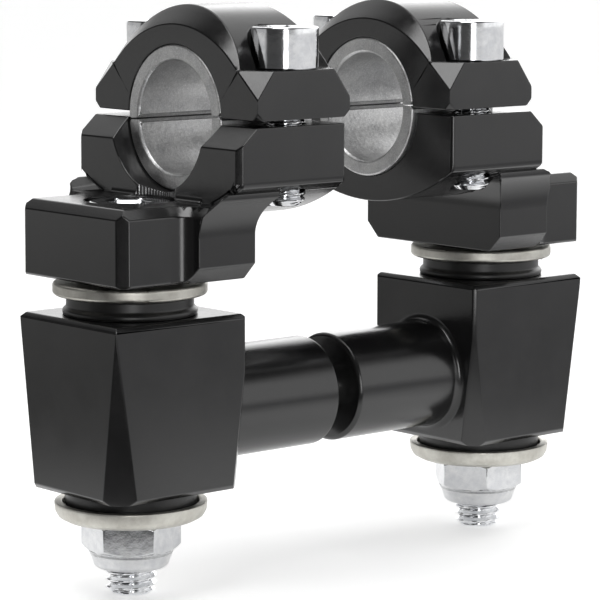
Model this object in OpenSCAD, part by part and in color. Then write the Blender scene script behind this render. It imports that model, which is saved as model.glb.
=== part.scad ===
// Handlebar riser for a motorcycle: a matched left and right half.
// Each half is a block with a stub post, two rubber bushings, a swivelling
// upper clamp with a split cap and sizing sleeves, and one through bolt.
//
// Frame: X runs along the common axis of the stub posts (left half at -X),
// -Y is the front, +Z is up. The origin is the middle of the post axis.
// Inside each half, x is measured inboard from its vertical bolt axis.
// All lengths are in millimetres.

/* [Layout] */
// Distance from the origin to each vertical bolt axis
bolt_x = 47.7; // [47.7:0.1:52]
// Height of the handlebar axis above the post axis
bar_z = 57.3; // [56.5:0.1:60]

/* [Block] */
// Block length outboard of the bolt axis
blk_out = 15.2; // [15:0.1:17]
// Block length inboard of the bolt axis
blk_in = 16.8; // [16:0.1:18]
// Width of the block from front to back
blk_w = 30.6; // [30:0.1:34]
// Height of the block's top face
blk_top = 20; // [19:0.1:21]
// Height of the block's underside (negative, below the post axis)
blk_bot = -14.3; // [-15:0.1:-14]
// Chamfer on the block's upper edges
blk_top_ch = 0.86; // [0.4:0.02:1.2]
// Chamfer on the block's lower edges
blk_bot_ch = 1.0; // [0.4:0.1:1.4]
// Radius of the bushing bore through the block
blk_bore_r = 10; // [9.5:0.1:11]

/* [Stub post] */
// Diameter of the stub post that the lower bar clamps hold
post_d = 22.3; // [22:0.1:22.4]
// Free end of each post, measured inboard from the bolt axis
post_end = 45; // [40:0.1:45.4]
// Chamfer at the post's free end
post_ch = 0.6; // [0.3:0.1:1]
// Fillet at the post's root
post_root = 1.6; // [1:0.1:2]

/* [Clamp base] */
// Outboard length of the foot
foot_out = 14.5; // [14:0.1:16]
// Half width of the foot
foot_hw = 16.3; // [15.5:0.1:17]
// Thickness of the foot
foot_t = 14.8; // [14:0.1:15.2]
// Chamfer around the foot's top
foot_ch = 1.9; // [1:0.1:2.4]
// Half width of the neck
neck_hw = 20.3; // [19.5:0.1:21]
// Neck start, inboard of the bolt axis
neck_x0 = 0.7; // [0.4:0.1:1.2]
// Neck end, inboard of the bolt axis
neck_x1 = 14.6; // [14:0.1:15.5]
// Saddle start, inboard of the bolt axis
sad_x0 = 6.4; // [6:0.1:7]
// Saddle end, inboard of the bolt axis
sad_x1 = 33.3; // [33:0.1:34]
// Half width of the saddle and the cap
sad_hw = 25.2; // [25.2:0.1:27]
// Radius of the recess for the bolt head
pocket_r = 8.7; // [8.5:0.1:9.2]

/* [Cap] */
// Cap face nearest the bolt, inboard of the bolt axis
cap_x0 = 10.9; // [10.5:0.1:11.2]
// Cap far face, inboard of the bolt axis
cap_x1 = 34.3; // [34.3:0.1:35]
// Radius of the cap's crest about the bar axis
crest_r = 22; // [21:0.1:23]
// Gap between the saddle and the cap
split_gap = 1.2; // [0.8:0.1:1.6]

/* [Bar and sizing sleeves] */
// Diameter of the handlebar that the sleeves hold
bar_d = 22.2; // [22:0.1:25.4]
// Outer diameter of the sizing sleeves
shim_d = 28.6; // [28.2:0.1:28.8]
// Turn of the sleeves' parting plane about the bar, in degrees
shim_turn = 4; // [0:1:10]

/* [Fasteners] */
// Cap screws: distance from the bar axis, front and back
scr_y = 19.4; // [19.2:0.1:19.8]
// Cap screw thread diameter
scr_d = 7.9; // [7.6:0.1:8]
// Cap screw head diameter
scr_head_d = 13; // [12.4:0.1:13.2]
// Cap screw head height
scr_head_h = 8.1; // [7.5:0.1:8.4]
// Through bolt diameter
bolt_d = 9.9; // [9.5:0.1:10]
// Through bolt head diameter
bolt_head_d = 16; // [15:0.1:16.6]
// Nut size across its flats
nut_af = 17; // [16:0.5:18]

/* [Hidden] */

$fn = 96;
eps = 0.01;

post_r = post_d / 2;
pin_r = 4;
pin_len = 26;

// heights of the stack, from the block's top upwards
wash_t = 2.5;
wash_z = blk_top + 3.85;          // underside of the upper washer
wash_top = wash_z + wash_t;
foot_z = wash_top + 0.85;         // underside of the foot
foot_top = foot_z + foot_t;
pocket_z = foot_z + 8.2;          // floor of the bolt head recess
bolt_head_top = foot_top - 0.2;

// heights of the stack, from the block's underside downwards
cup_in_z = blk_bot - 4.1;         // inside floor of the cup washer
cup_out_z = blk_bot - 6.1;        // outside floor of the cup washer
nut_hex_z = cup_out_z - 6.1;
nut_end_z = cup_out_z - 9.5;
bolt_end_z = cup_out_z - 14.7;

bolt_r = bolt_d / 2;
sleeve_ri = bolt_r + 0.25;
sleeve_ro = 7;

shim_r = shim_d / 2;
bore_r = shim_r + 0.05;
bar_r = bar_d / 2;
sad_top = bar_z - split_gap / 2;
cap_bot = bar_z + split_gap / 2;
ear_z = bar_z + 10;               // seat of the cap screw heads
scr_x = (cap_x0 + cap_x1) / 2;
scr_tip_z = bar_z - 16.3;

black = [0.16, 0.16, 0.165];
rubber = [0.07, 0.07, 0.07];
steel = [0.62, 0.61, 0.58];
zinc = [0.80, 0.81, 0.83];
bare = [0.72, 0.72, 0.71];

// ---------------------------------------------------------------- helpers

// Puts a child drawn in a half's own coordinates at its place.
module half(side) {
  if (side == "left") translate([-bolt_x, 0, 0]) children();
  else mirror([1, 0, 0]) translate([-bolt_x, 0, 0]) children();
}

// A cube that lies beyond the plane through p with outward normal n.
module beyond(p, n, s = 90) {
  translate(p)
    rotate([0, acos(n[2] / norm(n)), atan2(n[1], n[0])])
      translate([-s / 2, -s / 2, 0]) cube(s);
}

// A flat outline in (Y, Z) extruded along x from x0 to x1.
module along_x(x0, x1) {
  translate([x0, 0, 0]) rotate([90, 0, 90])
    linear_extrude(height = x1 - x0) children();
}

// A flat outline in (x, Z) extruded from y0 to y1.
module along_y(y0, y1) {
  translate([0, y1, 0]) rotate([90, 0, 0])
    linear_extrude(height = y1 - y0) children();
}

// A disc with both outer edges rounded.
module round_edged_ring(ri, ro, t, e) {
  difference() {
    rotate_extrude() {
      square([ro - e, t]);
      translate([0, e]) square([ro, t - 2 * e]);
      translate([ro - e, e]) circle(r = e, $fn = 48);
      translate([ro - e, t - e]) circle(r = e, $fn = 48);
    }
    translate([0, 0, -1]) cylinder(r = ri, h = t + 2);
  }
}

// ------------------------------------------------------------------ block

// One corner facet: it starts at the corner's edge at height z1 and is
// dx by dy wide at the block's underside.
module corner_facet(x, y, sx, sy, dx, dy, z1) {
  beyond([x, y, z1], [sx * dy, sy * dx, -dx * dy / (z1 - blk_bot)]);
}

module block() {
  hw = blk_w / 2;
  color(black) difference() {
    union() {
      difference() {
        translate([-blk_out, -hw, blk_bot])
          cube([blk_out + blk_in, blk_w, blk_top - blk_bot]);
        for (s = [-1, 1]) {
          corner_facet(-blk_out, s * hw, -1, s, 4.84, 4.4, blk_top - 1);
          corner_facet(blk_in, s * hw, 1, s, 3.6, 3.7, blk_top - 6);
          beyond([blk_in - 0.35, s * (hw - 0.35), 0], [1, s, 0]);
          beyond([0, s * (hw - blk_top_ch), blk_top], [0, s, 1]);
          beyond([0, s * (hw - blk_bot_ch), blk_bot], [0, s, -1]);
        }
        beyond([-blk_out + blk_top_ch, 0, blk_top], [-1, 0, 1]);
        beyond([blk_in - blk_top_ch, 0, blk_top], [1, 0, 1]);
        beyond([-blk_out + blk_bot_ch, 0, blk_bot], [-1, 0, -1]);
        beyond([blk_in - blk_bot_ch, 0, blk_bot], [1, 0, -1]);
      }
      // stub post with a root fillet and a chamfered end
      translate([blk_in, 0, 0]) rotate([0, 90, 0]) rotate_extrude() {
        polygon([
          [0, -1], [post_r, -1], [post_r, post_end - blk_in - post_ch],
          [post_r - post_ch, post_end - blk_in], [0, post_end - blk_in]
        ]);
        difference() {
          translate([post_r - 1, -0.5]) square([1 + post_root, 0.5 + post_root]);
          translate([post_r + post_root, post_root]) circle(r = post_root, $fn = 48);
        }
      }
    }
    // bore for the bushings, and the blind hole for the joining pin
    translate([0, 0, blk_bot - 1]) cylinder(r = blk_bore_r, h = blk_top - blk_bot + 2);
    translate([post_end - 12, 0, 0]) rotate([0, 90, 0]) cylinder(r = pin_r + 0.02, h = 14);
  }
}

module joining_pin() {
  color(steel) translate([-pin_len / 2, 0, 0]) rotate([0, 90, 0])
    rotate_extrude() polygon([
      [0, 0], [pin_r - 0.5, 0], [pin_r, 0.5], [pin_r, pin_len - 0.5],
      [pin_r - 0.5, pin_len], [0, pin_len]
    ]);
}

// --------------------------------------------------------------- bushings

module upper_bushing() {
  ri = sleeve_ro + 0.08;
  top = wash_z - 0.2;
  color(rubber) rotate_extrude() polygon([
    [ri, blk_top - 16.5], [blk_bore_r - 0.6, blk_top - 16.5],
    [blk_bore_r, blk_top - 15.8], [blk_bore_r, blk_top],
    [12.9, blk_top], [13.1, blk_top + 0.25], [13.1, blk_top + 1.0],
    [12.4, blk_top + 1.6], [12.4, top - 0.3], [12.1, top], [ri, top]
  ]);
}

module lower_bushing() {
  ri = sleeve_ro + 0.08;
  bot = cup_in_z + 0.22;
  color(rubber) rotate_extrude() polygon([
    [ri, blk_bot + 16.5], [ri, bot], [12.0, bot], [12.8, bot + 0.8],
    [12.9, blk_bot], [blk_bore_r, blk_bot], [blk_bore_r, blk_bot + 15.8],
    [blk_bore_r - 0.6, blk_bot + 16.5]
  ]);
}

// ------------------------------------------------- sleeve, washers, bolt

module spacer_sleeve() {
  color(steel) difference() {
    translate([0, 0, cup_in_z]) cylinder(r = sleeve_ro, h = wash_z - cup_in_z);
    translate([0, 0, cup_in_z - 1]) cylinder(r = sleeve_ri, h = wash_z - cup_in_z + 2);
  }
}

module upper_washer() {
  color(steel) translate([0, 0, wash_z])
    round_edged_ring(bolt_r + 0.35, 15, wash_t, 0.7);
}

module cup_washer() {
  color(steel) rotate_extrude() polygon([
    [bolt_r + 0.35, cup_out_z], [11.4, cup_out_z], [13.1, cup_out_z + 0.3],
    [14.2, cup_out_z + 0.9], [14.75, cup_out_z + 1.9], [14.95, cup_out_z + 3.5],
    [14.8, cup_out_z + 3.75], [13.5, cup_out_z + 3.75], [13.3, cup_out_z + 3.5],
    [13.2, cup_out_z + 2.6], [12.6, cup_in_z], [bolt_r + 0.35, cup_in_z]
  ]);
}

module through_bolt() {
  color(zinc) difference() {
    rotate_extrude() polygon([
      [0, bolt_end_z], [bolt_r - 1.0, bolt_end_z], [bolt_r, bolt_end_z + 1.0],
      [bolt_r, pocket_z], [bolt_head_d / 2, pocket_z],
      [bolt_head_d / 2, bolt_head_top - 0.6], [bolt_head_d / 2 - 0.6, bolt_head_top],
      [0, bolt_head_top]
    ]);
    translate([0, 0, bolt_head_top - 4])
      cylinder(r = 8 / sqrt(3), h = 5, $fn = 6);
  }
}

module lock_nut(turn) {
  rc = nut_af / sqrt(3);
  color(zinc) difference() {
    union() {
      rotate([0, 0, turn]) intersection() {
        translate([0, 0, nut_hex_z]) cylinder(r = rc, h = cup_out_z - nut_hex_z, $fn = 6);
        rotate_extrude() polygon([
          [0, nut_hex_z - 0.0], [nut_af / 2 - 0.3, nut_hex_z], [rc + 0.1, nut_hex_z + 1.1],
          [rc + 0.1, cup_out_z - 0.8], [nut_af / 2 + 0.1, cup_out_z], [0, cup_out_z]
        ]);
      }
      // tapered collar that holds the locking ring
      rotate_extrude() {
        polygon([
          [0, nut_end_z + 1.2], [7.55, nut_end_z + 1.2], [8.4, nut_hex_z],
          [8.4, nut_hex_z + 0.4], [0, nut_hex_z + 0.4]
        ]);
        translate([0, nut_end_z]) square([6.35, 2]);
        translate([6.35, nut_end_z + 1.2]) circle(r = 1.2, $fn = 48);
      }
    }
    translate([0, 0, nut_end_z - 1]) cylinder(r = bolt_r + 0.03, h = 12);
  }
}

// ------------------------------------------------------------- clamp base

flare_r = 9.5;
flare_z = foot_z + 8.8;
under_r = 44.5;                   // radius of the saddle's curved underside
under_z = bar_z - 19.5;           // its lowest height

module foot() {
  intersection() {
    translate([0, 0, foot_z]) linear_extrude(height = foot_t) polygon([
      [-foot_out, -foot_hw + 1.9], [-foot_out + 1.9, -foot_hw], [sad_x0 + 0.6, -foot_hw],
      [sad_x0 + 0.6, foot_hw], [-foot_out + 1.9, foot_hw], [-foot_out, foot_hw - 1.9]
    ]);
    along_y(-foot_hw - 1, foot_hw + 1) polygon([
      [-foot_out + 0.5, foot_z], [-foot_out, foot_z + 0.5],
      [-foot_out, foot_top - foot_ch], [-foot_out + foot_ch, foot_top],
      [sad_x0 + 1, foot_top], [sad_x0 + 1, foot_z]
    ]);
    along_x(-foot_out - 1, sad_x0 + 1) polygon([
      [-foot_hw + 0.5, foot_z], [-foot_hw, foot_z + 0.5],
      [-foot_hw, foot_top - foot_ch], [-foot_hw + foot_ch, foot_top],
      [foot_hw - foot_ch, foot_top], [foot_hw, foot_top - foot_ch],
      [foot_hw, foot_z + 0.5], [foot_hw - 0.5, foot_z]
    ]);
  }
  // concave corners between the foot and the neck; the neck's lower
  // chamfer and the foot's upper one run on over them
  r = neck_hw - foot_hw;
  difference() {
    intersection() {
      for (s = [-1, 1]) translate([0, 0, foot_z + 0.5])
        linear_extrude(height = foot_t - 0.5) difference() {
          translate([neck_x0 - r, s > 0 ? foot_hw - 2.5 : -neck_hw])
            square([r + 0.5, r + 2.5]);
          translate([neck_x0 - r, s * neck_hw]) circle(r = r, $fn = 96);
        }
      along_x(neck_x0 - r - 1, neck_x0 + 2) polygon([
        [-neck_hw + 3.3, foot_z], [neck_hw - 3.3, foot_z], [neck_hw, foot_z + 3.3],
        [neck_hw, foot_top + 1], [-neck_hw, foot_top + 1], [-neck_hw, foot_z + 3.3]
      ]);
    }
    corner_cones();
  }
}

// The foot's upper chamfer where it runs round the two concave corners.
module corner_cones() {
  r = neck_hw - foot_hw;
  for (s = [-1, 1]) translate([neck_x0 - r, s * neck_hw, foot_top - foot_ch])
    cylinder(r1 = r, r2 = r + foot_ch + 3, h = foot_ch + 3, $fn = 128);
}

// Cross-section of the neck in (Y, Z), flaring out under the saddle.
module neck_outline(z_top) {
  polygon([
    [-neck_hw + 3.3, foot_z], [neck_hw - 3.3, foot_z], [neck_hw, foot_z + 3.3],
    [neck_hw, flare_z + eps], [-neck_hw, flare_z + eps], [-neck_hw, foot_z + 3.3]
  ]);
  difference() {
    translate([-neck_hw - 3.3, flare_z]) square([2 * neck_hw + 6.6, z_top - flare_z]);
    for (s = [-1, 1]) translate([s * (neck_hw + flare_r), flare_z])
      circle(r = flare_r, $fn = 128);
  }
}

module neck() {
  difference() {
    union() {
      along_x(neck_x0, neck_x1) neck_outline(foot_top);
      along_x(neck_x0 + 1, neck_x1) neck_outline(under_z + 6.6);
    }
    corner_cones();
    // slanted facet from the top of the foot up to the saddle's face
    for (s = [-1, 1]) intersection() {
      beyond([3.4, s * neck_hw, foot_top - 0.15], [-0.418, -s * 0.419, 0.806]);
      translate([-20, s > 0 ? foot_hw : -60, foot_top]) cube([40, 60 - foot_hw, 40]);
    }
    // the middle of it lies outside the saddle's face above the foot's top
    translate([-20, -foot_hw - eps, foot_top]) cube([20 + sad_x0, 2 * foot_hw + 2 * eps, 20]);
  }
  // the same flare on the inboard side
  difference() {
    along_x(neck_x1 - 0.5, neck_x1 + 3.3) intersection() {
      neck_outline(under_z + 6.6);
      translate([-30, flare_z]) square([60, 20]);
    }
    translate([neck_x1 + flare_r, -40, flare_z]) rotate([-90, 0, 0])
      cylinder(r = flare_r, h = 80, $fn = 128);
  }
}

module saddle() {
  cz = under_z + under_r;
  difference() {
    intersection() {
      along_x(sad_x0, sad_x1) intersection() {
        union() {
          polygon([
            [-sad_hw, sad_top], [sad_hw, sad_top], [sad_hw, bar_z - 10.7],
            [sad_hw - 2.5, bar_z - 10.7], [sad_hw - 2.5, bar_z - 13.2],
            [15, under_z - 2], [-15, under_z - 2], [-sad_hw + 2.5, bar_z - 13.2],
            [-sad_hw + 2.5, bar_z - 10.7], [-sad_hw, bar_z - 10.7]
          ]);
          for (s = [-1, 1]) translate([s * (sad_hw - 2.5), bar_z - 10.7])
            circle(r = 2.5, $fn = 96);
        }
        translate([0, cz]) circle(r = under_r, $fn = 256);
      }
      translate([sad_x0 - 1, 0, cz]) rotate([0, 90, 0])
        cylinder(r1 = under_r - 2, r2 = under_r + 30, h = 32, $fn = 256);
    }
    // 45 degree edge that leads up to the cap's face
    beyond([sad_x0, 0, sad_top - 4], [-4, 0, cap_x0 - sad_x0]);
    for (s = [-1, 1]) {
      // chamfer up the outboard edge and round the lower corner
      intersection() {
        beyond([sad_x0, s * (sad_hw - 1.1), bar_z], [-1, s, 0]);
        translate([sad_x0 - 5, -40, bar_z - 10.7]) cube([20, 80, 20]);
      }
      difference() {
        translate([sad_x0 - 1, s > 0 ? sad_hw - 2.5 : -sad_hw - 1, bar_z - 14.7])
          cube([2.1, 3.5, 4]);
        translate([sad_x0 - 1, s * (sad_hw - 2.5), bar_z - 10.7]) rotate([0, 90, 0])
          cylinder(r1 = 0.4, r2 = 2.5, h = 2.1, $fn = 96);
      }
      beyond([sad_x1, s * (sad_hw - 0.5), bar_z], [1, s, 0]);
    }
  }
  // concave corner between the saddle's face and the foot's top
  along_y(-14, 14) difference() {
    translate([sad_x0 - 1.2, foot_top - 0.5]) square([1.7, 1.7]);
    translate([sad_x0 - 1.2, foot_top + 1.2]) circle(r = 1.2, $fn = 96);
  }
}

module clamp_base() {
  color(black) difference() {
    union() {
      foot();
      neck();
      saddle();
      // low boss that stands on the washer
      translate([0, 0, wash_top]) cylinder(r = 10.5, h = foot_z - wash_top + 0.5);
    }
    // bar bore, bolt hole, recess for the bolt head, cap screw holes
    translate([-1, 0, bar_z]) rotate([0, 90, 0]) cylinder(r = bore_r, h = sad_x1 + 3, $fn = 192);
    translate([0, 0, wash_top - 1]) cylinder(r = bolt_r + 0.35, h = 20);
    translate([0, 0, pocket_z]) cylinder(r = pocket_r, h = 40);
    for (s = [-1, 1]) translate([scr_x, s * scr_y, under_z - 2])
      cylinder(r = scr_d / 2 + 0.05, h = 30);
  }
}

// ------------------------------------------- sizing sleeves, cap, screws

// Half of the sleeve between bar and clamp; up is 1 for the cap's half.
module bar_sleeve(up) {
  color(bare) translate([cap_x0, 0, bar_z])
    rotate([shim_turn * -1, 0, 0]) intersection() {
      rotate([0, 90, 0]) difference() {
        rotate_extrude($fn = 192) polygon([
          [bar_r + 0.5, 0], [shim_r - 0.3, 0], [shim_r, 0.3],
          [shim_r, cap_x1 - cap_x0 - 0.3], [shim_r - 0.3, cap_x1 - cap_x0],
          [bar_r + 0.5, cap_x1 - cap_x0], [bar_r, cap_x1 - cap_x0 - 0.5], [bar_r, 0.5]
        ]);
      }
      along_x(-1, 40) polygon(up > 0
        ? [[-20, 0.75], [-14.3, 0.75], [-13.6, 0.1], [-11.8, 0.1], [-11.1, 0.75], [11.1, 0.75],
           [11.8, 0.1], [13.6, 0.1], [14.3, 0.75], [20, 0.75], [20, 20], [-20, 20]]
        : [[-20, -0.75], [-14.3, -0.75], [-13.6, -0.1], [-11.8, -0.1], [-11.1, -0.75], [11.1, -0.75],
           [11.8, -0.1], [13.6, -0.1], [14.3, -0.75], [20, -0.75], [20, -20], [-20, -20]]);
    }
}

// One end of the cap's chamfers; x is the end's face and d points outwards.
module cap_end(x, d) {
  for (s = [-1, 1]) {
    beyond([x, s * 24.8, bar_z + 4.9], [d * 1, s * 0.664, 0.748]);
    beyond([x, s * (sad_hw - 0.85), 0], [d, s, 0]);
    beyond([x, s * (sad_hw - 0.85), cap_bot + 0.6], [d, s, -1]);
  }
}

module cap() {
  color(black) difference() {
    union() {
      along_x(cap_x0, cap_x1) translate([-sad_hw, cap_bot])
        square([2 * sad_hw, ear_z - cap_bot]);
      // round crest, chamfered at both ends by wide cones
      intersection() {
        translate([cap_x0, 0, bar_z]) rotate([0, 90, 0])
          cylinder(r = crest_r, h = cap_x1 - cap_x0, $fn = 192);
        translate([cap_x0, -40, cap_bot]) cube([cap_x1 - cap_x0, 80, 40]);
        translate([cap_x0, 0, bar_z - 7.8]) rotate([0, 90, 0])
          cylinder(r1 = 26, r2 = 66, h = 40, $fn = 256);
        translate([cap_x1, 0, bar_z - 7.8]) rotate([0, -90, 0])
          cylinder(r1 = 26, r2 = 66, h = 40, $fn = 256);
      }
    }
    cap_end(cap_x0, -1);
    cap_end(cap_x1, 1);
    translate([cap_x0 - 1, 0, bar_z]) rotate([0, 90, 0])
      cylinder(r = bore_r, h = cap_x1 - cap_x0 + 2, $fn = 192);
    for (s = [-1, 1]) {
      translate([scr_x, s * scr_y, ear_z]) cylinder(r = 7.1, h = 20);
      translate([scr_x, s * scr_y, cap_bot - 1]) cylinder(r = scr_d / 2 + 0.3, h = 20);
    }
  }
}

module cap_screw() {
  color(zinc) translate([scr_x, 0, 0]) difference() {
    rotate_extrude() polygon([
      [0, scr_tip_z], [scr_d / 2 - 0.9, scr_tip_z], [scr_d / 2, scr_tip_z + 0.9],
      [scr_d / 2, ear_z], [scr_head_d / 2, ear_z],
      [scr_head_d / 2, ear_z + scr_head_h - 0.5],
      [scr_head_d / 2 - 0.5, ear_z + scr_head_h], [0, ear_z + scr_head_h]
    ]);
    translate([0, 0, ear_z + scr_head_h - 4])
      cylinder(r = 6 / sqrt(3), h = 5, $fn = 6);
  }
}

// ------------------------------------------------------------- the pieces

half("left") block();  // left_block
half("right") block();  // right_block
joining_pin();
half("left") upper_bushing();  // left_upper_bushing
half("right") upper_bushing();  // right_upper_bushing
half("left") lower_bushing();  // left_lower_bushing
half("right") lower_bushing();  // right_lower_bushing
half("left") spacer_sleeve();  // left_spacer_sleeve
half("right") spacer_sleeve();  // right_spacer_sleeve
half("left") upper_washer();  // left_upper_washer
half("right") upper_washer();  // right_upper_washer
half("left") cup_washer();  // left_cup_washer
half("right") cup_washer();  // right_cup_washer
half("left") through_bolt();  // left_through_bolt
half("right") through_bolt();  // right_through_bolt
half("left") lock_nut(18.8);  // left_lock_nut
half("right") lock_nut(3.5);  // right_lock_nut
half("left") clamp_base();  // left_clamp_base
half("right") clamp_base();  // right_clamp_base
half("left") bar_sleeve(-1);  // left_lower_bar_sleeve
half("right") bar_sleeve(-1);  // right_lower_bar_sleeve
half("left") bar_sleeve(1);  // left_upper_bar_sleeve
half("right") bar_sleeve(1);  // right_upper_bar_sleeve
half("left") cap();  // left_cap
half("right") cap();  // right_cap
half("left") translate([0, -scr_y, 0]) cap_screw();  // left_front_cap_screw
half("right") translate([0, -scr_y, 0]) cap_screw();  // right_front_cap_screw
half("left") translate([0, scr_y, 0]) cap_screw();  // left_rear_cap_screw
half("right") translate([0, scr_y, 0]) cap_screw();  // right_rear_cap_screw
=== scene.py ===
import bpy
import math
import numpy as np
from mathutils import Matrix, Vector


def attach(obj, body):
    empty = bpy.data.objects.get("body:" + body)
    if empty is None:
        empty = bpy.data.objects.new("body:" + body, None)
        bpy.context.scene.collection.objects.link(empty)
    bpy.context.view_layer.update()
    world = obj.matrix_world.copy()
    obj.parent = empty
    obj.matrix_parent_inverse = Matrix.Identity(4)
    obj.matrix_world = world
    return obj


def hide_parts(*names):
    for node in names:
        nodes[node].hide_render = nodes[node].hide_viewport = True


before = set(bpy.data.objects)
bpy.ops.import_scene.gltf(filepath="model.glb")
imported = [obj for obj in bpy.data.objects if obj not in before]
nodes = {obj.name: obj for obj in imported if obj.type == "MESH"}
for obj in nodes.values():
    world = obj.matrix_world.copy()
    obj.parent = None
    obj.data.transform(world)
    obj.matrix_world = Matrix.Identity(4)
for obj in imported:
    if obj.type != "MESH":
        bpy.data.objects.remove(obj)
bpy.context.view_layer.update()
scene = bpy.context.scene
MM = 0.001


# ------------------------------------------------------------ node helpers
class Shader:
    """A material's node tree with short names for what this scene uses."""

    def __init__(self, name):
        self.mat = bpy.data.materials.new(name)
        self.mat.use_nodes = True
        self.nt = self.mat.node_tree
        self.nt.nodes.clear()
        out = self.nt.nodes.new("ShaderNodeOutputMaterial")
        self.bsdf = self.nt.nodes.new("ShaderNodeBsdfPrincipled")
        self.nt.links.new(self.bsdf.outputs[0], out.inputs["Surface"])
        self.co = self.nt.nodes.new("ShaderNodeTexCoord").outputs["Object"]

    def link(self, a, b):
        self.nt.links.new(a, b)

    def put(self, socket, value):
        if hasattr(value, "is_linked"):
            self.link(value, socket)
        else:
            socket.default_value = value

    def stretch(self, scale, vec=None):
        n = self.nt.nodes.new("ShaderNodeMapping")
        n.inputs["Scale"].default_value = scale
        self.link(vec or self.co, n.inputs["Vector"])
        return n.outputs[0]

    def noise(self, scale, detail=3.0, rough=0.55, vec=None, distort=0.0):
        n = self.nt.nodes.new("ShaderNodeTexNoise")
        n.inputs["Scale"].default_value = scale
        n.inputs["Detail"].default_value = detail
        n.inputs["Roughness"].default_value = rough
        n.inputs["Distortion"].default_value = distort
        self.link(vec or self.co, n.inputs["Vector"])
        return n.outputs["Fac"]

    def cells(self, scale, vec=None, feature="F1", rand=1.0):
        n = self.nt.nodes.new("ShaderNodeTexVoronoi")
        n.feature = feature
        n.inputs["Scale"].default_value = scale
        n.inputs["Randomness"].default_value = rand
        self.link(vec or self.co, n.inputs["Vector"])
        return n.outputs["Distance"]

    def remap(self, v, a, b, c, d):
        n = self.nt.nodes.new("ShaderNodeMapRange")
        n.clamp = True
        self.link(v, n.inputs["Value"])
        for k, x in zip(("From Min", "From Max", "To Min", "To Max"), (a, b, c, d)):
            n.inputs[k].default_value = x
        return n.outputs[0]

    def math(self, op, a, b=None, c=None):
        n = self.nt.nodes.new("ShaderNodeMath")
        n.operation = op
        for i, v in enumerate((a, b, c)):
            if v is not None:
                self.put(n.inputs[i], v)
        return n.outputs[0]

    def mix(self, fac, a, b):
        n = self.nt.nodes.new("ShaderNodeMix")
        n.data_type = "RGBA"
        self.put(n.inputs[0], fac)
        for i, v in ((6, a), (7, b)):
            if hasattr(v, "is_linked"):
                self.link(v, n.inputs[i])
            else:
                n.inputs[i].default_value = (*v, 1.0)
        return n.outputs[2]

    def split(self, vec=None):
        n = self.nt.nodes.new("ShaderNodeSeparateXYZ")
        self.link(vec or self.co, n.inputs[0])
        return n.outputs

    def bump(self, height, distance, strength=1.0, normal=None):
        n = self.nt.nodes.new("ShaderNodeBump")
        n.inputs["Strength"].default_value = strength
        n.inputs["Distance"].default_value = distance
        self.link(height, n.inputs["Height"])
        if normal is not None:
            self.link(normal, n.inputs["Normal"])
        return n.outputs[0]

    def set(self, **kw):
        for k, v in kw.items():
            s = self.bsdf.inputs[k.replace("_", " ")]
            if isinstance(v, tuple):
                s.default_value = (*v, 1.0)
            else:
                self.put(s, v)
        return self


# --------------------------------------------------------------- materials
def anodised(name, lines=None, recess=False):
    """Black anodised aluminium: satin, with a very fine grain left by
    tumbling before it was dyed, and faint feed lines where lines says."""
    s = Shader(name)
    cloud = s.noise(140, 4, 0.6)
    grain = s.noise(2600, 2, 0.6)
    speck = s.noise(900, 5, 0.7)
    base = s.mix(s.remap(cloud, 0.3, 0.7, 0, 1), (0.0052, 0.0052, 0.0054), (0.0088, 0.0086, 0.0088))
    rough = s.math("ADD", s.remap(cloud, 0.3, 0.7, 0.17, 0.22), s.remap(speck, 0.35, 0.75, -0.02, 0.04))
    h = s.bump(grain, 0.0000022)
    h = s.bump(speck, 0.000004, 1.0, h)
    if lines is not None:
        h = s.bump(s.noise(1.0, 2, 0.5, s.stretch(lines)), 0.0000035, 1.0, h)
    metal = 0.0
    if recess:
        # upright ridges in bump on the wall of the bolt head recess, with bright metallic stripes painted on
        # them as a painted reflection of the knurled screw head
        x, y, z = s.split()
        dx = s.math("SUBTRACT", s.math("ABSOLUTE", x), 0.0477)
        rad = s.math("SQRT", s.math("ADD", s.math("MULTIPLY", dx, dx), s.math("MULTIPLY", y, y)))
        wall = s.math("MULTIPLY", s.remap(rad, 0.00876, 0.00884, 1, 0), s.remap(z, 0.0421, 0.0424, 0, 1))
        wave = s.math("SINE", s.math("MULTIPLY", s.math("ARCTAN2", y, dx), 83.0))
        h = s.bump(s.math("MULTIPLY", wave, wall), 0.00005, 1.0, h)
        ragged = s.noise(1.0, 2, 0.5, s.stretch((1500, 1500, 250)))
        # painted reflection: bright bare-metal stripes painted on the recess wall
        painted_reflection_stripes = s.math("MULTIPLY", wall, s.math("MULTIPLY", s.remap(wave, 0.1, 0.6, 0, 1), s.remap(ragged, 0.4, 0.6, 0.3, 1)))
        base = s.mix(painted_reflection_stripes, base, (0.85, 0.85, 0.86))
        metal = painted_reflection_stripes
    s.set(Base_Color=base, Roughness=rough, Metallic=metal, IOR=1.62, Normal=h)
    return s.mat


def zinc(name, mottled=1.0, tone=1.0):
    """Bright zinc plating: a silvery metal with soft mottling."""
    s = Shader(name)
    cloud = s.noise(420, 4, 0.6)
    fine = s.noise(2400, 3, 0.6)
    dull = s.remap(s.noise(700, 5, 0.65), 0.45, 0.75, 0, 1)
    base = s.mix(s.remap(cloud, 0.3, 0.7, 0, 1), (0.70 * tone, 0.71 * tone, 0.73 * tone), (0.86 * tone, 0.865 * tone, 0.87 * tone))
    base = s.mix(s.math("MULTIPLY", dull, 0.25), base, (0.42, 0.43, 0.46))
    rough = s.math("ADD", s.remap(cloud, 0.3, 0.7, 0.07, 0.13), s.math("MULTIPLY", dull, 0.08))
    h = s.bump(s.noise(260, 2, 0.5), 0.00004 * mottled)
    h = s.bump(cloud, 0.000012 * mottled, 1.0, h)
    h = s.bump(fine, 0.000006 * mottled, 1.0, h)
    s.set(Base_Color=base, Roughness=rough, Metallic=1.0, Normal=h)
    return s.mat


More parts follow.
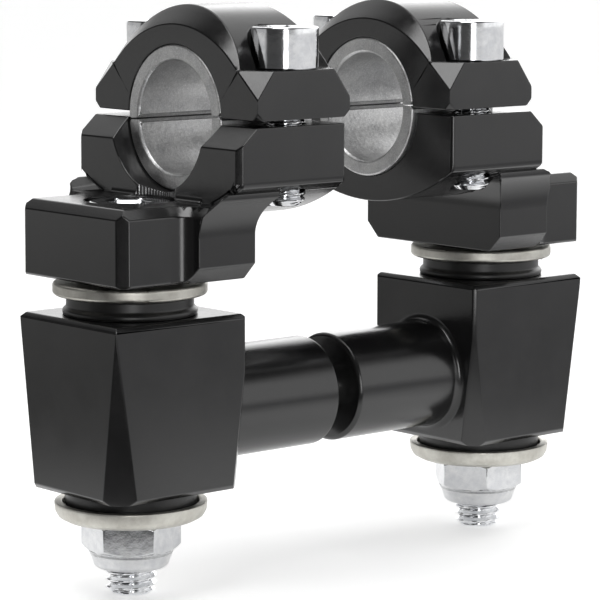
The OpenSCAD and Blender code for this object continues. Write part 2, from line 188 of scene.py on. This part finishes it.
def washer_steel(name):
    """Dull plated steel of the big washers: warm grey, with fine scuffs."""
    s = Shader(name)
    cloud = s.noise(260, 5, 0.62)
    scuff = s.noise(1.0, 4, 0.6, s.stretch((500, 500, 2600)))
    fine = s.noise(3000, 2, 0.6)
    base = s.mix(s.remap(cloud, 0.3, 0.7, 0, 1), (0.43, 0.415, 0.375), (0.66, 0.65, 0.60))
    rough = s.math("ADD", s.remap(cloud, 0.3, 0.7, 0.34, 0.46), s.remap(scuff, 0.4, 0.7, 0, 0.08))
    h = s.bump(scuff, 0.000006)
    h = s.bump(fine, 0.000004, 1.0, h)
    s.set(Base_Color=base, Roughness=rough, Metallic=1.0, Normal=h)
    return s.mat


def plain_steel(name):
    s = Shader(name)
    cloud = s.noise(300, 4, 0.6)
    rings = s.noise(1.0, 2, 0.5, s.stretch((300, 300, 9000)))
    base = s.mix(s.remap(cloud, 0.3, 0.7, 0, 1), (0.42, 0.42, 0.41), (0.58, 0.58, 0.57))
    s.set(Base_Color=base, Roughness=s.remap(cloud, 0.3, 0.7, 0.25, 0.36), Metallic=1.0,
          Normal=s.bump(rings, 0.000006))
    return s.mat


def bare_aluminium(name):
    """Tumbled bare aluminium of the sizing sleeves: pale and mottled."""
    s = Shader(name)
    cloud = s.noise(330, 5, 0.65)
    dents = s.cells(1100)
    fine = s.noise(3200, 2, 0.6)
    base = s.mix(s.remap(cloud, 0.32, 0.68, 0, 1), (0.40, 0.40, 0.405), (0.60, 0.60, 0.595))
    rough = s.remap(cloud, 0.3, 0.7, 0.36, 0.48)
    h = s.bump(cloud, 0.00003)
    h = s.bump(dents, 0.00004, 1.0, h)
    h = s.bump(fine, 0.00002, 1.0, h)
    s.set(Base_Color=s.mix(s.remap(fine, 0.45, 0.7, 0, 0.45), base, (0.85, 0.85, 0.85)), Roughness=rough,
          Metallic=1.0, Normal=h)
    return s.mat


def rubber(name):
    s = Shader(name)
    cloud = s.noise(220, 4, 0.6)
    fine = s.noise(2200, 3, 0.65)
    base = s.mix(s.remap(cloud, 0.3, 0.7, 0, 1), (0.008, 0.008, 0.0082), (0.016, 0.0155, 0.015))
    rough = s.remap(cloud, 0.3, 0.7, 0.30, 0.42)
    h = s.bump(cloud, 0.00002)
    h = s.bump(fine, 0.000005, 1.0, h)
    s.set(Base_Color=base, Roughness=rough, Metallic=0.0, IOR=1.52, Normal=h)
    return s.mat


M_BLOCK = anodised("anodised_block", (60, 900, 2200))
M_CLAMP = anodised("anodised_clamp", (900, 60, 2200), True)
M_CAP = anodised("anodised_cap", (1600, 60, 60))
M_ZINC = zinc("zinc_plated")
M_NUT = zinc("zinc_nut", 1.8, 0.78)
M_WASHER = washer_steel("plated_washer")
M_PLAIN = plain_steel("turned_steel")
M_BARE = bare_aluminium("tumbled_aluminium")
M_RUBBER = rubber("moulded_rubber")


def pick(name):
    for key, m in (("block", M_BLOCK), ("clamp_base", M_CLAMP), ("bushing", M_RUBBER),
                   ("washer", M_WASHER), ("spacer_sleeve", M_PLAIN), ("joining_pin", M_PLAIN),
                   ("bar_sleeve", M_BARE), ("nut", M_NUT), ("cap_screw", M_ZINC),
                   ("through_bolt", M_ZINC), ("_cap", M_CAP)):
        if key in name:
            return m
    raise SystemExit("no material for " + name)


EDGE = {"block": 0.22, "clamp_base": 0.25, "_cap": 0.22, "bar_sleeve": 0.14, "nut": 0.16,
        "bushing": 0.25, "cup_washer": 0.2, "upper_washer": 0.1}
for name, o in nodes.items():
    o.data.materials.clear()
    o.data.materials.append(pick(name))
    width = next((w for k, w in EDGE.items() if k in name), None)
    if "cap_screw" in name or "through_bolt" in name:
        width = None
    if width:
        w = o.modifiers.new("weld", "WELD")
        w.merge_threshold = 0.000002
        b = o.modifiers.new("edges", "BEVEL")
        b.width = width * MM
        b.segments = 3
        b.limit_method = "ANGLE"
        b.angle_limit = math.radians(24)
        b.use_clamp_overlap = False
        b.harden_normals = False
        b.miter_outer = "MITER_ARC"
        n = o.modifiers.new("normals", "WEIGHTED_NORMAL")
        n.keep_sharp = False
        n.weight = 80


# ------------------------------------------------------------ turned pieces
def ring_mesh(name, rows, count, material, wrap_shift=0):
    """A closed skin from rows of count points each; both ends close on one
    point. A row is an array of count points in millimetres. wrap_shift is not used."""
    verts, faces = [], []
    for row in rows:
        verts.extend(map(tuple, row))
    n = count
    m = len(rows)
    for j in range(m - 1):
        for i in range(n):
            a, b = j * n + i, j * n + (i + 1) % n
            faces.append((a, b, b + n, a + n))
    verts.append(tuple(np.mean(rows[0], axis=0)))
    verts.append(tuple(np.mean(rows[-1], axis=0)))
    for i in range(n):
        faces.append((len(verts) - 2, (i + 1) % n, i))
        a, b = (m - 1) * n + i, (m - 1) * n + (i + 1) % n
        faces.append((len(verts) - 1, a, b))
    mesh = bpy.data.meshes.new(name)
    mesh.from_pydata([tuple(c * MM for c in v) for v in verts], [], faces)
    mesh.validate()
    mesh.update()
    o = bpy.data.objects.new(name, mesh)
    scene.collection.objects.link(o)
    o.data.materials.append(material)
    return o


def smooth(o, degrees):
    mesh = o.data
    mesh.shade_smooth()
    mesh.set_sharp_from_angle(angle=math.radians(degrees))


def socket_screw(name, x, y, tip_z, shank_r, seat_z, head_r, top_z, af, deep, ridges,
                 pitch, band, thread_top, knurl_depth, twist, edge, body, node):
    """A socket head screw as one closed skin, from the thread's tip to the
    bottom of the socket."""
    per = 6
    count = ridges * per
    th = np.arange(count) * 2 * math.pi / count + twist
    cs, sn = np.cos(th), np.sin(th)
    rows = []

    def ring(r, z):
        r = np.broadcast_to(np.asarray(r, float), (count,))
        z = np.broadcast_to(np.asarray(z, float), (count,))
        rows.append(np.stack([r * cs, r * sn, z], 1))

    # threaded shank: phase runs along the helix, so each ring is a height field
    depth = 0.6 * pitch
    step = pitch / 10
    z = tip_z
    ring(shank_r - 1.3, tip_z)
    zs = np.arange(tip_z + 0.02, thread_top, step)
    for z in zs:
        ph = (z / pitch - (th - twist) / (2 * math.pi)) % 1.0
        tri = np.clip((np.abs(ph - 0.5) * 2 - 0.1) / 0.72, 0, 1)       # 1 at the crest
        r = shank_r - depth * (1 - tri)
        lead = shank_r - 1.2 + (z - tip_z) * 1.1                       # chamfered start
        fade = np.clip((thread_top - z) / (pitch * 0.8), 0, 1)
        r = shank_r - (shank_r - r) * fade
        ring(np.minimum(r, lead), z)
    ring(shank_r, thread_top)
    ring(shank_r, seat_z)
    # head: chamfer below, knurled side, smooth top band, rounded top edge
    tooth = (np.arange(count) % per) / per
    tooth = np.abs(tooth - 0.5) * 2                                   # 1 at the ridge
    knurl = knurl_depth * (1 - np.clip(tooth * 1.35 - 0.15, 0, 1))
    ring(head_r - 0.45, seat_z)
    ring(head_r - 0.2, seat_z + 0.12)
    lo, hi = seat_z + 0.3, top_z - edge - band
    for t in (0, 0.02, 0.25, 0.5, 0.75, 0.98, 1.0):
        ring(head_r - 0.02 - knurl * (0.0 if t in (0, 1.0) else 1.0), lo + (hi - lo) * t)
    for a in np.linspace(0, 90, 7):
        a = math.radians(a)
        ring(head_r - edge + edge * math.cos(a), top_z - edge + edge * math.sin(a))
    # hex socket with a small lead-in chamfer and a drilled, coned bottom
    hexr = (af / 2) / np.cos((th - twist + math.pi / 6) % (math.pi / 3) - math.pi / 6)
    mid = (head_r - edge + af / 2 / math.cos(math.pi / 6)) / 2
    ring(mid, top_z)
    ring(np.maximum(hexr + 0.3, af / 2 / math.cos(math.pi / 6) + 0.22), top_z)
    ring(hexr + 0.02, top_z - 0.28)
    ring(hexr, top_z - 0.34)
    ring(hexr, top_z - deep + 0.5)
    ring(hexr - 0.15, top_z - deep + 0.25)
    ring(af * 0.3, top_z - deep - 0.05)
    ring(0.05, top_z - deep - 0.5)
    out = [r + [x, y, 0.0] for r in rows]
    o = ring_mesh(name, out, count, M_ZINC)
    smooth(o, 38)
    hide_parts(node)
    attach(o, body)
    return o


turn = {"left_front": 0.22, "left_rear": 0.9, "right_front": 0.55, "right_rear": 0.1}
for side, sg in (("left", -1), ("right", 1)):
    for end, y in (("front", -19.4), ("rear", 19.4)):
        x = sg * (47.7 - 22.6)
        socket_screw(f"{side}_{end}_cap_screw_look", x, y, 41.0, 3.95, 67.3, 6.5, 75.4, 6.0, 4.0, 24,
                     1.25, 1.3, 64.5, 0.0, turn[f"{side}_{end}"], 0.4, side + "_clamp",
                     f"{side}_{end}_cap_screw")
    socket_screw(f"{side}_through_bolt_look", sg * 47.7, 0.0, -35.1, 4.95, 35.4, 8.0, 41.8, 8.0, 4.0, 76,
                 1.5, 0.9, -12.0, 0.17, 0.3 + 0.4 * sg, 0.6, side + "_clamp", f"{side}_through_bolt")

# ------------------------------------------------------------------- floor
floor_z = -0.0352
mesh = bpy.data.meshes.new("floor")
R = 6.0
mesh.from_pydata([(-R, -R, floor_z), (R, -R, floor_z), (R, R, floor_z), (-R, R, floor_z)], [], [(0, 1, 2, 3)])
floor = bpy.data.objects.new("floor", mesh)
scene.collection.objects.link(floor)
fs = Shader("floor_paper_painted_shade_and_glow")
# white paper under and behind the object; further out the paper is painted grey, and a painted
# dark gap beside the camera and painted shade close in front show in the polished parts as painted reflections
fx, fy, fz = fs.split()
across = fs.math("ADD", fs.math("MULTIPLY", fx, 0.752), fs.math("MULTIPLY", fy, -0.659))
along = fs.math("ADD", fs.math("MULTIPLY", fx, 0.659), fs.math("MULTIPLY", fy, 0.752))
off = fs.math("SUBTRACT", fs.math("ABSOLUTE", across), fs.math("MULTIPLY", fs.math("MAXIMUM", along, 0.0), 0.12))
wide = fs.remap(off, 0.085, 0.22, 0, 1)
front = fs.remap(along, -0.055, -0.11, 0, 1)
away = fs.math("MAXIMUM", wide, front)
angle = fs.math("ARCTAN2", across, fs.math("MULTIPLY", along, -1.0))      # 0 towards the camera, + to its right
# painted shade: a dark wedge beside the camera and a dark patch close in front of the object are painted on the
# paper
gap = fs.math("MULTIPLY", fs.remap(angle, -1.3, -1.05, 0, 1), fs.remap(angle, -0.12, -0.05, 1, 0))
radius = fs.math("SQRT", fs.math("ADD", fs.math("MULTIPLY", fx, fx), fs.math("MULTIPLY", fy, fy)))
close = fs.math("MULTIPLY", fs.remap(radius, 0.24, 0.17, 0, 1), front)
dark = fs.math("MAXIMUM", gap, close)
# painted shade: the paper further out is painted grey, darker on the camera's left than on its right
sides = fs.mix(fs.remap(across, -0.1, 0.1, 0, 1), (0.33, 0.33, 0.325), (0.55, 0.55, 0.56))
painted_room_shade = fs.mix(dark, sides, (0.10, 0.10, 0.10))
fcloud = fs.noise(3.0, 3, 0.5)
paper = fs.mix(fcloud, (0.87, 0.87, 0.87), (0.89, 0.89, 0.89))
fs.set(Base_Color=fs.mix(away, paper, painted_room_shade), Roughness=0.9)
fs.bsdf.inputs["Emission Color"].default_value = (1, 1, 1, 1)
# painted light: the paper glows near the object, and the grey further out glows more the further it lies
far_painted_glow = fs.math("MULTIPLY", fs.remap(radius, 0.3, 0.9, 0, 0.42), fs.math("SUBTRACT", 1.0, gap))
painted_glow = fs.math("ADD", fs.remap(away, 0, 1, 0.43, 0.0), fs.math("MULTIPLY", far_painted_glow, away))
# painted light: a bright strip glows on the paper, the foot of the bright strip beside the camera
painted_glow_strip = fs.math("MULTIPLY", fs.remap(angle, -0.06, -0.03, 0, 1), fs.remap(angle, 0.16, 0.20, 1, 0))
painted_glow_strip = fs.math("MULTIPLY", painted_glow_strip, fs.math("MULTIPLY", fs.remap(radius, 0.24, 0.30, 0, 1), front))
fs.put(fs.bsdf.inputs["Emission Strength"], fs.math("ADD", painted_glow, fs.math("MULTIPLY", painted_glow_strip, 3.5)))
fs.bsdf.inputs["Specular IOR Level"].default_value = 0.1
floor.data.materials.append(fs.mat)

# ------------------------------------------------------------------- world
world = bpy.data.worlds.new("studio")
scene.world = world
world.use_nodes = True
wt = world.node_tree
wt.nodes.clear()
wout = wt.nodes.new("ShaderNodeOutputWorld")
wbg = wt.nodes.new("ShaderNodeBackground")
wt.links.new(wbg.outputs[0], wout.inputs["Surface"])
wco = wt.nodes.new("ShaderNodeTexCoord").outputs["Generated"]


def wmath(op, a, b=None, c=None):
    n = wt.nodes.new("ShaderNodeMath")
    n.operation = op
    for i, v in enumerate((a, b, c)):
        if v is None:
            continue
        if hasattr(v, "is_linked"):
            wt.links.new(v, n.inputs[i])
        else:
            n.inputs[i].default_value = v
    return n.outputs[0]


def wdot(direction):
    n = wt.nodes.new("ShaderNodeVectorMath")
    n.operation = "DOT_PRODUCT"
    wt.links.new(wco, n.inputs[0])
    n.inputs[1].default_value = Vector(direction).normalized()
    return n.outputs["Value"]


def wstep(v, a, b):
    n = wt.nodes.new("ShaderNodeMapRange")
    n.interpolation_type = "SMOOTHSTEP"
    wt.links.new(v, n.inputs["Value"])
    n.inputs["From Min"].default_value = a
    n.inputs["From Max"].default_value = b
    return n.outputs[0]


# a big soft light above and behind, a white sweep behind, pale walls low on
# both sides, and a dark gap to the left of the camera
def cone(d, outer, inner, gain):
    v = wstep(wdot(d), math.cos(math.radians(outer)), math.cos(math.radians(inner)))
    return wmath("MULTIPLY", v, gain)


towards = wdot((-0.659, -0.752, 0.0))
beside = wdot((0.752, -0.659, 0.0))
height = wdot((0.0, 0.0, 1.0))
turned = wmath("ARCTAN2", beside, towards)
gap = wmath("MULTIPLY", wstep(turned, -1.2, -1.05), wmath("SUBTRACT", 1.0, wstep(turned, -0.12, -0.06)))
side = wstep(turned, 0.5, 0.9)
low = wmath("SUBTRACT", 1.0, wstep(wmath("SUBTRACT", height, wmath("MULTIPLY", side, 0.32)), 0.10, 0.32))
walls = wmath("MULTIPLY", wmath("MULTIPLY", low, wmath("SUBTRACT", 1.0, gap)), wmath("ADD", 0.42, wmath("MULTIPLY", wstep(turned, 0.4, 0.9), 0.75)))
strip = wmath("MULTIPLY", wmath("MULTIPLY", wstep(turned, -0.06, -0.02),
                                wmath("SUBTRACT", 1.0, wstep(turned, 0.16, 0.22))),
              wmath("MULTIPLY", wmath("SUBTRACT", 1.0, wstep(height, 0.25, 0.4)), 5.0))
total = wmath("ADD", cone((0.50, 0.40, 0.77), 50, 26, 1.2), cone((0.66, 0.75, 0.0), 38, 18, 0.9))
total = wmath("ADD", total, wmath("ADD", walls, strip))
total = wmath("ADD", total, 0.05)
wt.links.new(total, wbg.inputs["Strength"])
wbg.inputs["Color"].default_value = (1.0, 1.0, 1.0, 1.0)


def area(name, place, aim, size, power, colour=(1, 1, 1)):
    light = bpy.data.lights.new(name, "AREA")
    light.shape = "RECTANGLE"
    light.size, light.size_y = size
    light.energy = power
    light.color = colour
    o = bpy.data.objects.new(name, light)
    o.location = place
    o.rotation_euler = (Vector(aim) - Vector(place)).to_track_quat("-Z", "Y").to_euler()
    scene.collection.objects.link(o)
    return o


area("key_top", (-0.28, -0.1, 0.75), (0, 0, 0.02), (0.45, 0.45), 3.0)

# ------------------------------------------------------------------ camera
az, pitch, roll = math.radians(-41.2254), math.radians(6.9657), math.radians(0.18379)
f, ox, oy, dist, cx, cy = 2804.776, 314.4833, 387.8877, 576.3325, 300.0, 252.64
right0 = Vector((math.cos(az), math.sin(az), 0))
fwd = Vector((-math.sin(az) * math.cos(pitch), math.cos(az) * math.cos(pitch), -math.sin(pitch)))
up0 = right0.cross(fwd)
right = right0 * math.cos(roll) + up0 * math.sin(roll)
up = up0 * math.cos(roll) - right0 * math.sin(roll)
oc = ((ox - cx) / f * dist, -(oy - cy) / f * dist, dist)
place = -(right * oc[0] + up * oc[1] + fwd * oc[2]) * MM
cam_data = bpy.data.cameras.new("camera")
cam_data.sensor_width = 36
cam_data.lens = f / 600 * 36
cam_data.shift_x = 0
cam_data.shift_y = -(300 - cy) / 600
cam_data.clip_start = 0.01
cam = bpy.data.objects.new("camera", cam_data)
m = Matrix((right, up, -fwd)).transposed().to_4x4()
m.translation = place
cam.matrix_world = m
scene.collection.objects.link(cam)
scene.camera = cam

scene.view_settings.view_transform = "Standard"
scene.view_settings.look = "None"
